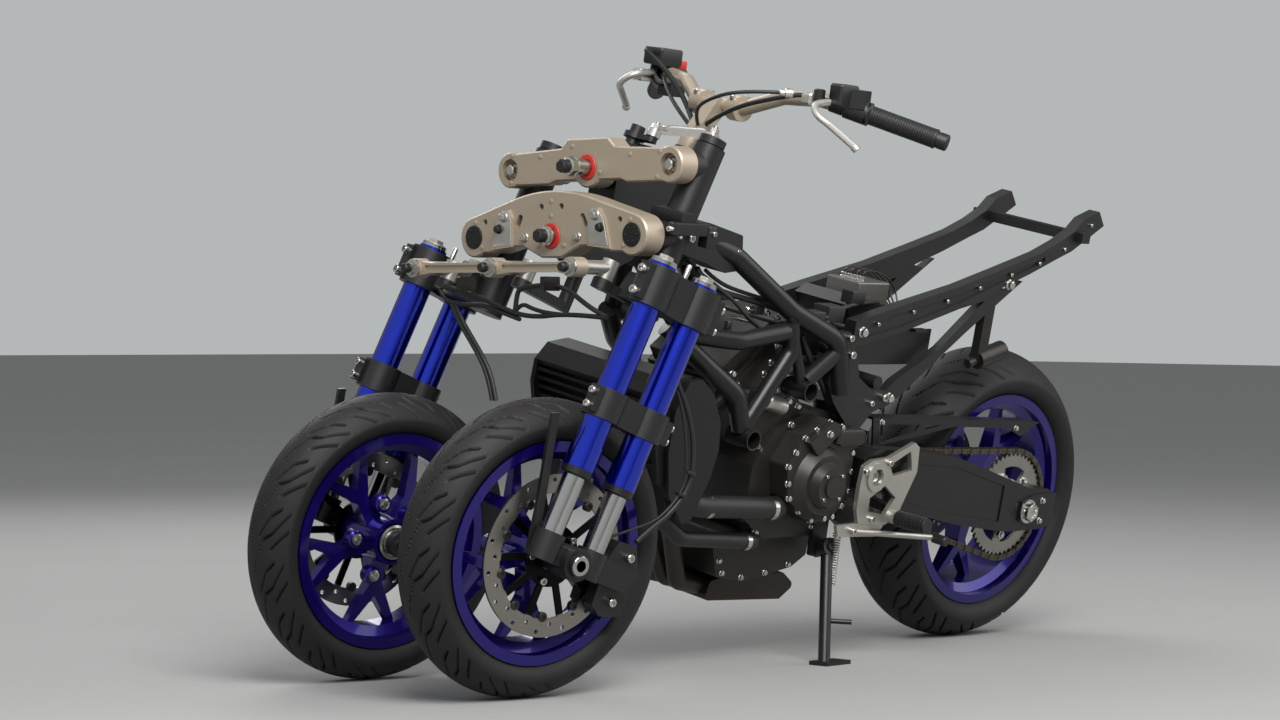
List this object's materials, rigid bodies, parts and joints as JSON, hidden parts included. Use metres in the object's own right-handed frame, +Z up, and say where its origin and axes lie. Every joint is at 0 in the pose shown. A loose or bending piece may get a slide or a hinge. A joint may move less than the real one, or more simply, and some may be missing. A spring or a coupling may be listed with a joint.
{
  "type": "leaning three-wheeled motorcycle",
  "caption": "Leaning motorcycle with a pair of front wheels on a parallelogram of cast arms, twin-tube forks, tube frame and chain drive, shown without bodywork on its side stand.",
  "frame": {"origin": "on the ground, under the centre of the overall box", "axes": "+X forward, +Y to the rider's left, +Z up"},
  "size_m": [2.1028, 0.9922, 1.2102],
  "materials": {
    "tyre": "matte",
    "wheel_paint": "gloss",
    "fork_paint": "gloss",
    "black_metal": "satin",
    "champagne": "satin",
    "steel": "satin",
    "chrome": "polished",
    "engine_grey": "satin",
    "black_plastic": "matte",
    "rubber": "matte",
    "alloy": "satin",
    "chain_steel": "satin"
  },
  "bodies": {
    "chassis": {"brake_modulator": "alloy", "chain": "chain_steel", "coolant_hoses": "rubber", "crankcase": "engine_grey", "cylinder_block": "engine_grey", "electrics_tray": "black_plastic", "exhaust": "alloy", "foot_brackets": "alloy", "head_casting": "black_metal", "main_frame": "black_metal", "pivot_casting": "black_metal", "radiator": "alloy", "rear_shock": "black_metal", "subframe": "black_metal", "swingarm": "black_metal"},
    "rear_wheel": {"rear_disc": "steel", "rear_rim": "wheel_paint", "rear_sprocket": "steel", "rear_tyre": "tyre"},
    "side_stand": {"side_stand": "black_metal"},
    "upper_arm": {"upper_arm": "champagne"},
    "lower_arm": {"lower_arm": "champagne"},
    "left_post": {"left_post": "black_metal"},
    "right_post": {"right_post": "black_metal"},
    "left_fork": {"left_axle_carrier": "black_metal", "left_fork_tubes": "fork_paint", "left_stanchions": "chrome", "left_yoke": "black_metal"},
    "right_fork": {"right_axle_carrier": "black_metal", "right_fork_tubes": "fork_paint", "right_stanchions": "chrome", "right_yoke": "black_metal"},
    "left_wheel": {"left_disc": "steel", "left_rim": "wheel_paint", "left_tyre": "tyre"},
    "right_wheel": {"right_disc": "steel", "right_rim": "wheel_paint", "right_tyre": "tyre"},
    "left_swivel": {"left_swivel": "black_metal"},
    "right_swivel": {"right_swivel": "black_metal"},
    "pitman": {"pitman": "black_metal"},
    "centre_swivel": {"centre_swivel": "black_metal"},
    "tie_rod": {"tie_rod": "champagne"},
    "handlebar": {"bar_controls": "rubber", "handlebar": "champagne", "levers": "black_metal"},
    "steering_link": {"steering_link": "alloy"}
  },
  "joints": [
    {"name": "lean", "type": "hinge", "parent": "chassis", "child": "lower_arm", "pos_m": [0.65101, -0.01677, 0.83583], "axis": [1, 0, 0], "range_deg": [-57, 33]},
    {"name": "upper_arm_pivot", "type": "hinge", "parent": "chassis", "child": "upper_arm", "pos_m": [0.58501, 0.01046, 0.96397], "axis": [1, 0, 0], "range_deg": [-57, 33]},
    {"name": "left_post_pivot", "type": "hinge", "parent": "lower_arm", "child": "left_post", "pos_m": [0.65101, 0.18823, 0.83583], "axis": [1, 0, 0], "range_deg": [-33, 57]},
    {"name": "steer", "type": "hinge", "parent": "left_post", "child": "left_fork", "pos_m": [0.75613, 0.06661, 0.26367], "axis": [-0.342, 0.1954, 0.9192], "range_deg": [-26, 42]},
    {"name": "left_wheel_spin", "type": "hinge", "parent": "left_fork", "child": "left_wheel", "pos_m": [0.77879, 0.06501, 0.27244], "axis": [0.1308, 0.9785, -0.1593], "continuous": true},
    {"name": "left_swivel_pivot", "type": "hinge", "parent": "left_fork", "child": "left_swivel", "pos_m": [0.68047, 0.16014, 0.77601], "axis": [-0.342, 0.1954, 0.9192], "range_deg": [-42, 26]},
    {"name": "right_post_pivot", "type": "hinge", "parent": "lower_arm", "child": "right_post", "pos_m": [0.65101, -0.22177, 0.83583], "axis": [1, 0, 0], "range_deg": [-33, 57]},
    {"name": "right_steer", "type": "hinge", "parent": "right_post", "child": "right_fork", "pos_m": [0.75613, -0.34339, 0.26367], "axis": [-0.342, 0.1954, 0.9192], "range_deg": [-26, 42]},
    {"name": "right_wheel_spin", "type": "hinge", "parent": "right_fork", "child": "right_wheel", "pos_m": [0.77879, -0.34499, 0.27244], "axis": [0.1308, 0.9785, -0.1593], "continuous": true},
    {"name": "right_swivel_pivot", "type": "hinge", "parent": "right_fork", "child": "right_swivel", "pos_m": [0.68047, -0.24986, 0.77601], "axis": [-0.342, 0.1954, 0.9192], "range_deg": [-42, 26]},
    {"name": "pitman_pivot", "type": "hinge", "parent": "chassis", "child": "pitman", "pos_m": [0.75613, -0.13839, 0.26367], "axis": [-0.342, 0.1954, 0.9192], "range_deg": [-26, 42]},
    {"name": "centre_swivel_pivot", "type": "hinge", "parent": "pitman", "child": "centre_swivel", "pos_m": [0.68047, -0.04486, 0.77601], "axis": [-0.342, 0.1954, 0.9192], "range_deg": [-42, 26]},
    {"name": "tie_rod_pivot", "type": "hinge", "parent": "centre_swivel", "child": "tie_rod", "pos_m": [0.76477, -0.04486, 0.77601], "axis": [1, 0, 0], "range_deg": [-57, 33]},
    {"name": "handlebar_pivot", "type": "hinge", "parent": "chassis", "child": "handlebar", "pos_m": [0.28501, 0.03936, 1.09993], "axis": [-0.342, 0.1954, 0.9192], "range_deg": [-26, 42]},
    {"name": "link_pivot", "type": "hinge", "parent": "handlebar", "child": "steering_link", "pos_m": [0.31484, 0.07498, 1.02937], "axis": [-0.342, 0.1954, 0.9192], "range_deg": [-42, 26]},
    {"name": "rear_wheel_spin", "type": "hinge", "parent": "chassis", "child": "rear_wheel", "pos_m": [-0.73099, -0.12728, 0.31595], "axis": [0, 0.9781, -0.2079], "continuous": true},
    {"name": "side_stand_fold", "type": "hinge", "parent": "chassis", "child": "side_stand", "pos_m": [-0.11499, 0.00532, 0.22796], "axis": [0.0913, 0.9736, 0.2093], "range_deg": [0, 101.7]}
  ],
  "couplings": [
    {"joint": "upper_arm_pivot", "follows": "lean", "ratio": 1},
    {"joint": "left_post_pivot", "follows": "lean", "ratio": -1},
    {"joint": "right_post_pivot", "follows": "lean", "ratio": -1},
    {"joint": "tie_rod_pivot", "follows": "lean", "ratio": 1},
    {"joint": "right_steer", "follows": "steer", "ratio": 1},
    {"joint": "left_swivel_pivot", "follows": "steer", "ratio": -1},
    {"joint": "right_swivel_pivot", "follows": "steer", "ratio": -1},
    {"joint": "pitman_pivot", "follows": "steer", "ratio": 1},
    {"joint": "centre_swivel_pivot", "follows": "steer", "ratio": -1},
    {"joint": "handlebar_pivot", "follows": "steer", "ratio": 1},
    {"joint": "link_pivot", "follows": "steer", "ratio": -1}
  ]
}
